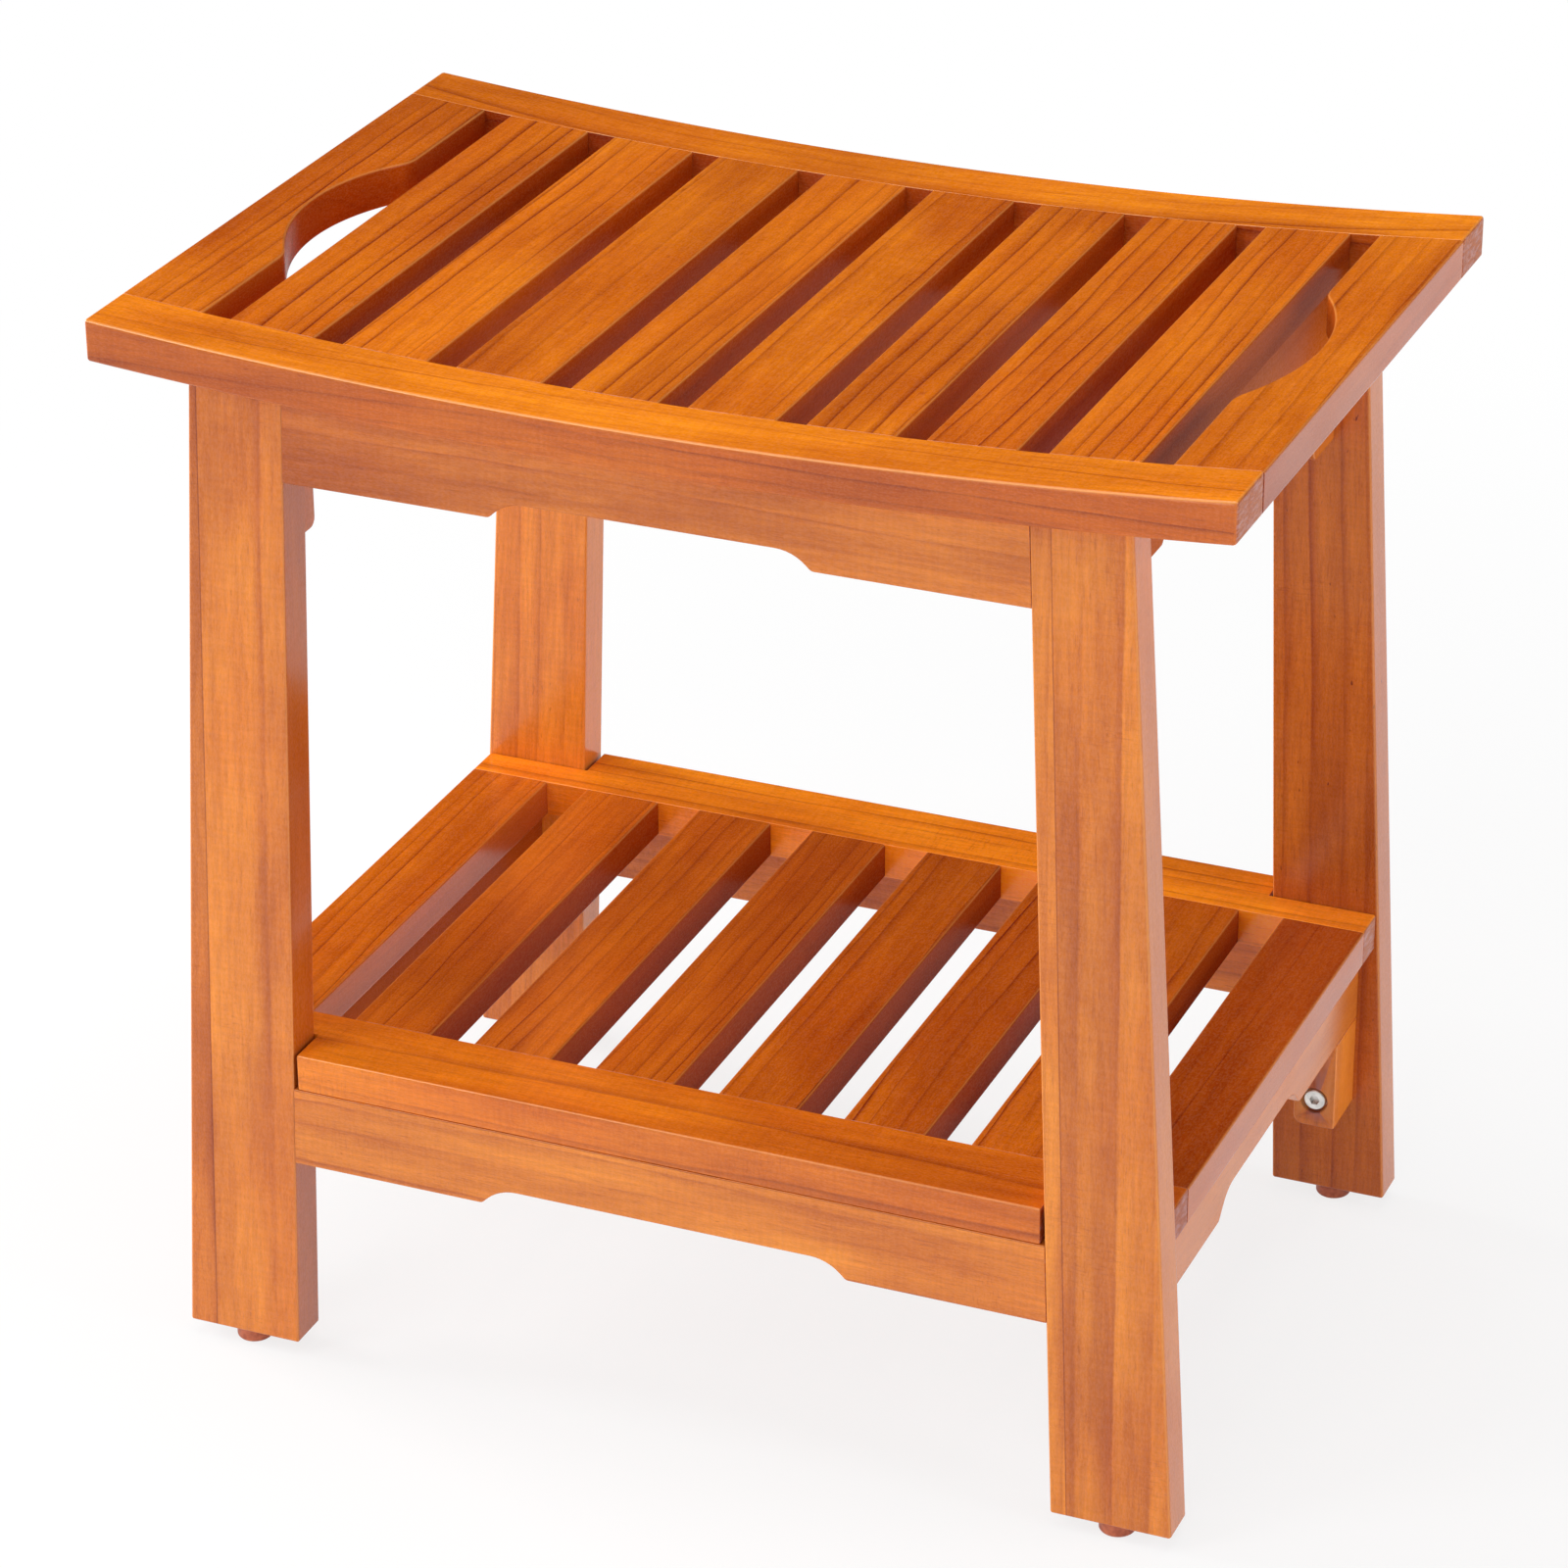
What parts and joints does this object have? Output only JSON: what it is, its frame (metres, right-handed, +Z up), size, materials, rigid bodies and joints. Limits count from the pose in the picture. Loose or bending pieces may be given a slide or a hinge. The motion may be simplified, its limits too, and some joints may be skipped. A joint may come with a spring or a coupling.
{
  "type": "wooden shower bench",
  "caption": "Slatted wooden shower bench with a dished seat, hand holds, splayed legs, arched aprons, a slatted shelf and screw feet.",
  "frame": {"origin": "on the floor, under the middle of the seat, with the feet screwed home", "axes": "+X to the right along the seat's long side, +Y to the back, +Z up"},
  "size_m": [0.459, 0.308, 0.45],
  "materials": {
    "seat_wood": "glossy orange varnish",
    "frame_wood": "glossy orange varnish",
    "shelf_wood": "glossy orange varnish",
    "dowel_wood": "plain beech",
    "steel": "bright stainless",
    "screw_steel": "zinc plated",
    "stud_steel": "zinc plated",
    "brass": "plain turned brass",
    "foot_plastic": "moulded, satin"
  },
  "bodies": {
    "bench": {"seat_front_rail": "seat_wood", "seat_rear_rail": "seat_wood", "seat_left_end": "seat_wood", "seat_right_end": "seat_wood", "seat_slat_1": "seat_wood", "seat_slat_2": "seat_wood", "seat_slat_3": "seat_wood", "seat_slat_4": "seat_wood", "seat_slat_5": "seat_wood", "seat_slat_6": "seat_wood", "seat_slat_7": "seat_wood", "seat_slat_8": "seat_wood", "front_left_leg": "frame_wood", "front_right_leg": "frame_wood", "rear_left_leg": "frame_wood", "rear_right_leg": "frame_wood", "front_apron": "frame_wood", "rear_apron": "frame_wood", "lower_front_rail": "frame_wood", "lower_rear_rail": "frame_wood", "upper_left_side_rail": "frame_wood", "upper_right_side_rail": "frame_wood", "lower_left_side_rail": "frame_wood", "lower_right_side_rail": "frame_wood", "upper_front_left_block": "frame_wood", "upper_front_right_block": "frame_wood", "upper_rear_left_block": "frame_wood", "upper_rear_right_block": "frame_wood", "lower_front_left_block": "frame_wood", "lower_front_right_block": "frame_wood", "lower_rear_left_block": "frame_wood", "lower_rear_right_block": "frame_wood", "shelf_front_rail": "shelf_wood", "shelf_rear_rail": "shelf_wood", "shelf_left_end": "shelf_wood", "shelf_right_end": "shelf_wood", "shelf_slat_1": "shelf_wood", "shelf_slat_2": "shelf_wood", "shelf_slat_3": "shelf_wood", "shelf_slat_4": "shelf_wood", "shelf_slat_5": "shelf_wood", "shelf_slat_6": "shelf_wood", "block_bolts": "steel", "bolt_washers": "steel", "bolt_inserts": "brass", "foot_inserts": "brass", "seat_screws": "screw_steel", "shelf_screws": "screw_steel", "frame_dowels": "dowel_wood", "seat_dowels": "dowel_wood", "shelf_dowels": "dowel_wood"},
    "front_left_foot": {"front_left_foot_pad": "foot_plastic", "front_left_foot_stud": "stud_steel"},
    "front_right_foot": {"front_right_foot_pad": "foot_plastic", "front_right_foot_stud": "stud_steel"},
    "rear_left_foot": {"rear_left_foot_pad": "foot_plastic", "rear_left_foot_stud": "stud_steel"},
    "rear_right_foot": {"rear_right_foot_pad": "foot_plastic", "rear_right_foot_stud": "stud_steel"}
  },
  "joints": [
    {"name": "front_left_foot_travel", "type": "slide", "parent": "bench", "child": "front_left_foot", "axis": [0, 0, -1], "range_m": [0, 0.008]},
    {"name": "front_right_foot_travel", "type": "slide", "parent": "bench", "child": "front_right_foot", "axis": [0, 0, -1], "range_m": [0, 0.008]},
    {"name": "rear_left_foot_travel", "type": "slide", "parent": "bench", "child": "rear_left_foot", "axis": [0, 0, -1], "range_m": [0, 0.008]},
    {"name": "rear_right_foot_travel", "type": "slide", "parent": "bench", "child": "rear_right_foot", "axis": [0, 0, -1], "range_m": [0, 0.008]}
  ]
}
